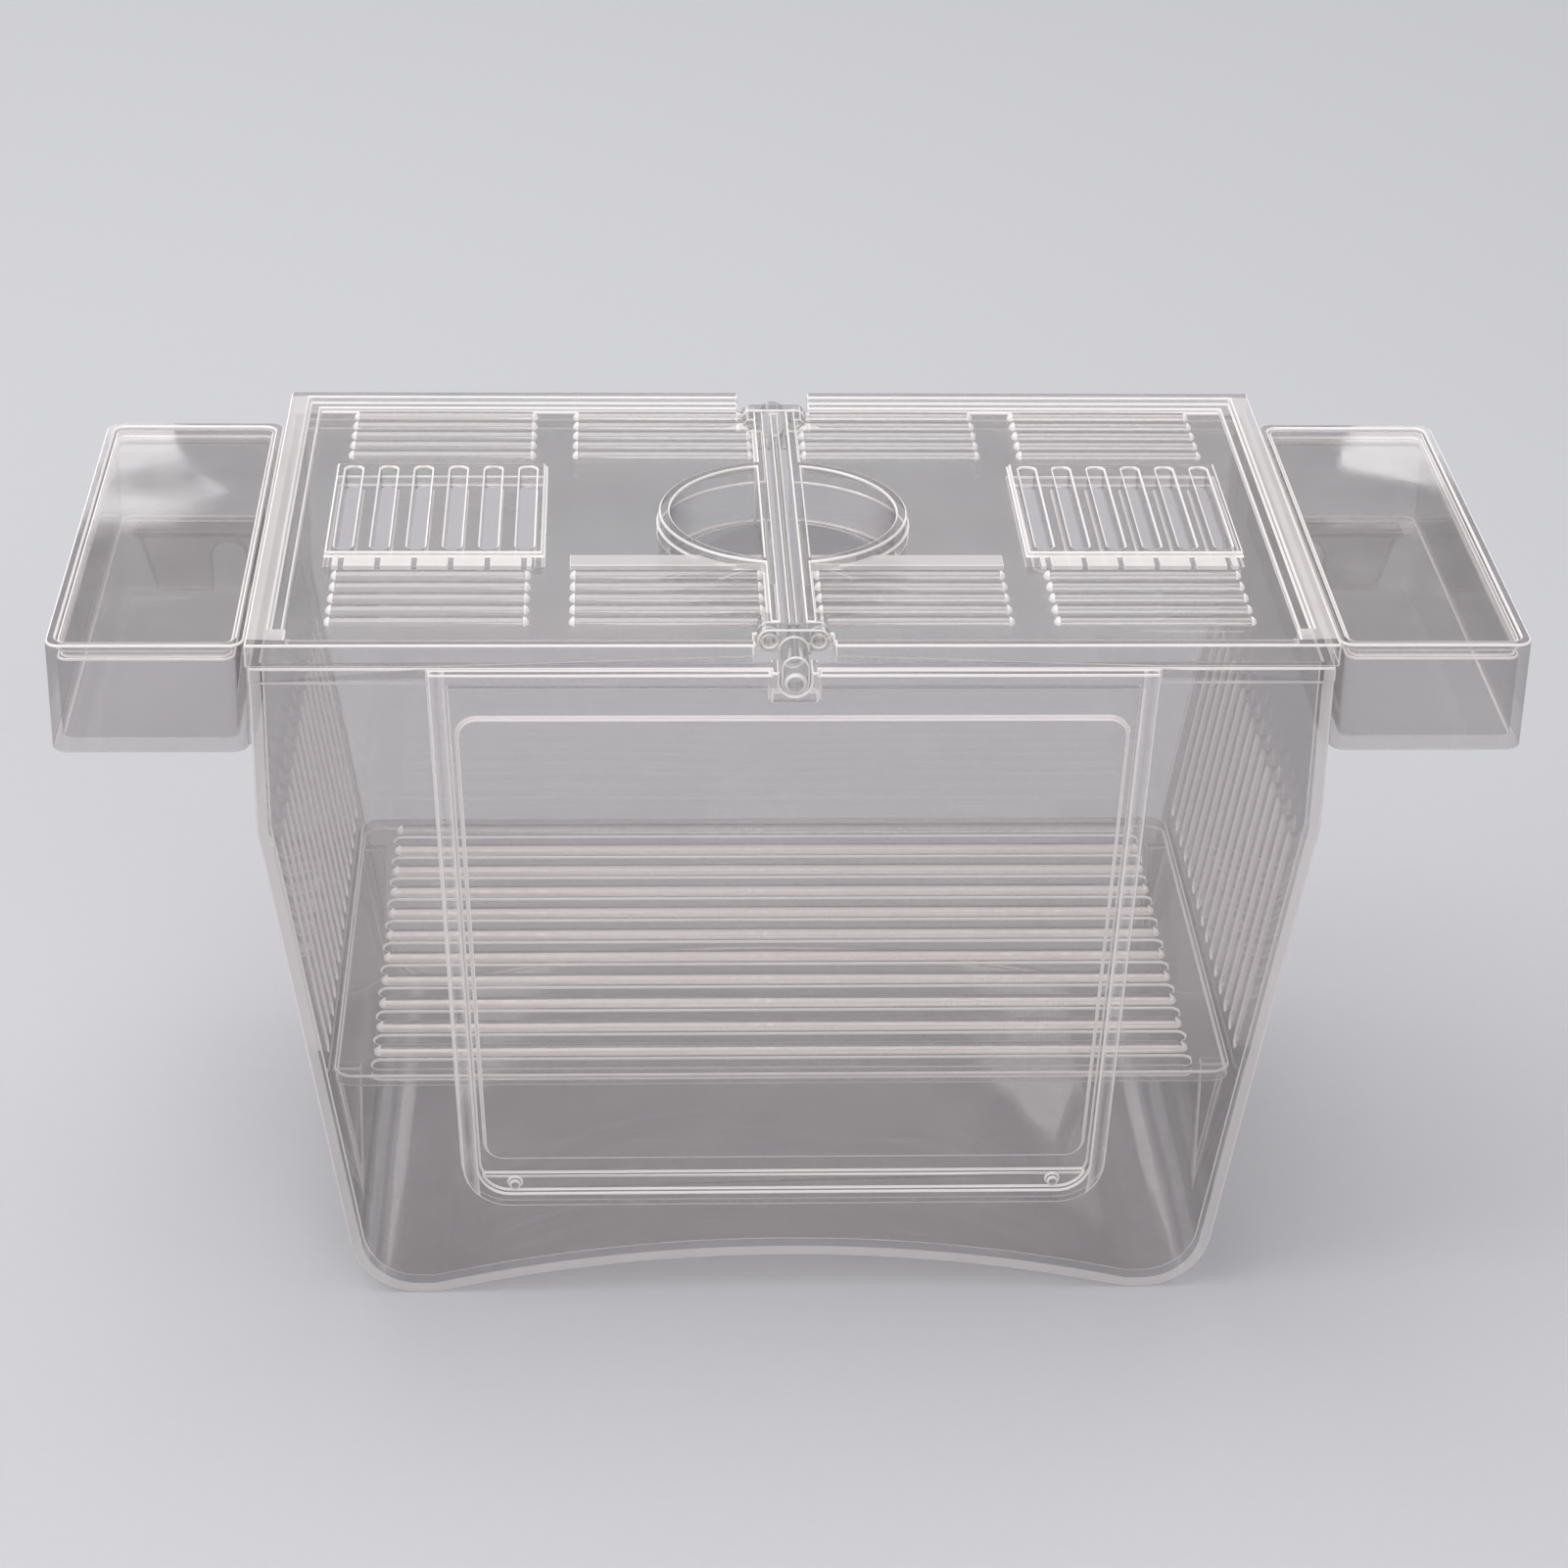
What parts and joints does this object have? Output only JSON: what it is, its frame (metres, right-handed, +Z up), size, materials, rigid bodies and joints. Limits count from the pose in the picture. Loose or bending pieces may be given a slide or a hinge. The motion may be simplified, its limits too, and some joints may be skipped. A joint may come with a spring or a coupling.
{
  "type": "fish breeding box",
  "caption": "Clear floating breeding box: slotted tank with lift-out fry shelf, two hinged lid leaves around a round feed port, and two sealed side floats with cup brackets.",
  "frame": {"origin": "on the resting plane, under the middle of the whole box", "axes": "+X to the right seen from the front, +Y from the framed front wall to the back wall, +Z up"},
  "size_m": [0.265, 0.1194, 0.139],
  "materials": {
    "clear_tank": "clear moulded, polished",
    "clear_lid": "clear moulded, polished",
    "clear_shelf": "clear moulded, slightly warm",
    "clear_float": "clear moulded, polished"
  },
  "bodies": {
    "tank": {"tank_body": "clear_tank", "left_float_tray": "clear_float", "right_float_tray": "clear_float", "left_float_cover": "clear_float", "right_float_cover": "clear_float", "left_cup_bracket": "clear_float", "right_cup_bracket": "clear_float"},
    "shelf": {"fry_shelf": "clear_shelf"},
    "lid_bar": {"hinge_bar": "clear_lid"},
    "left_leaf": {"left_lid": "clear_lid"},
    "right_leaf": {"right_lid": "clear_lid"}
  },
  "joints": [
    {"name": "shelf_lift", "type": "slide", "parent": "tank", "child": "shelf", "axis": [0, 0, 1], "range_m": [0, 0.075]},
    {"name": "lid_lift", "type": "slide", "parent": "tank", "child": "lid_bar", "axis": [0, 0, 1], "range_m": [0, 0.06]},
    {"name": "left_lid_hinge", "type": "hinge", "parent": "lid_bar", "child": "left_leaf", "pos_m": [-0.0044, 0.00125, 0.1368], "axis": [0, 1, 0], "range_deg": [0, 90]},
    {"name": "right_lid_hinge", "type": "hinge", "parent": "lid_bar", "child": "right_leaf", "pos_m": [0.0044, 0.00125, 0.1368], "axis": [0, -1, 0], "range_deg": [0, 90]}
  ]
}
